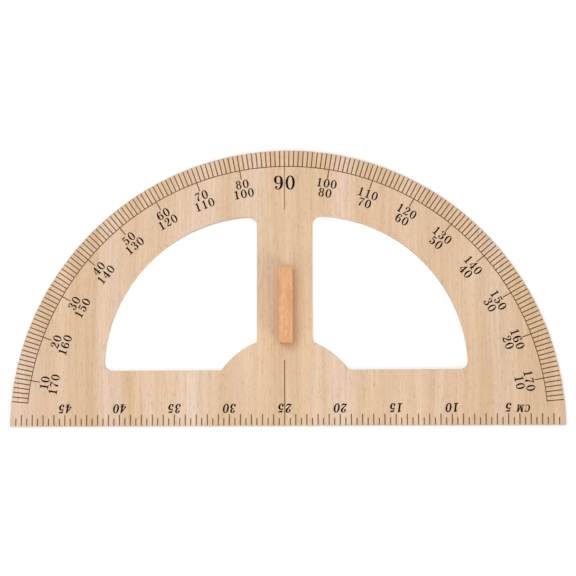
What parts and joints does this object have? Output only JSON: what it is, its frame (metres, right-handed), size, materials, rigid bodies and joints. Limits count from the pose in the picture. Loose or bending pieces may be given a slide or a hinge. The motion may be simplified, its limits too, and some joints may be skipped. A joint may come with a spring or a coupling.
{
  "type": "protractor",
  "caption": "Half-disc wooden demonstration protractor with two windows, a centimetre rule on its straight edge and an upright handle block.",
  "frame": {"origin": "the protractor's vertex: the middle of the straight edge, on the back face", "axes": "+X along the straight edge, +Y towards the 90 degree mark, +Z out of the printed front face"},
  "size_m": [0.501, 0.2504, 0.025],
  "materials": {
    "face_veneer": "satin clear lacquer on beech veneer, grain along Y",
    "crossband_veneer": "sanded edge of beech veneer, grain along X",
    "core_veneer": "sanded edge of beech veneer, grain along Y",
    "handle_beech": "satin clear lacquer on solid steamed beech",
    "screw_steel": "zinc plated",
    "line_ink": "matt screen-printed ink",
    "figure_ink": "matt screen-printed ink"
  },
  "bodies": {
    "root": {"back_face_ply": "face_veneer", "back_crossband_ply": "crossband_veneer", "core_ply": "core_veneer", "front_crossband_ply": "crossband_veneer", "front_face_ply": "face_veneer", "handle": "handle_beech", "handle_screw_upper": "screw_steel", "handle_screw_lower": "screw_steel", "degree_scale": "line_ink", "ruler_scale": "line_ink", "outer_degree_figures": "figure_ink", "inner_degree_figures": "figure_ink", "right_angle_figures": "figure_ink", "ruler_figures": "figure_ink"}
  },
  "joints": []
}
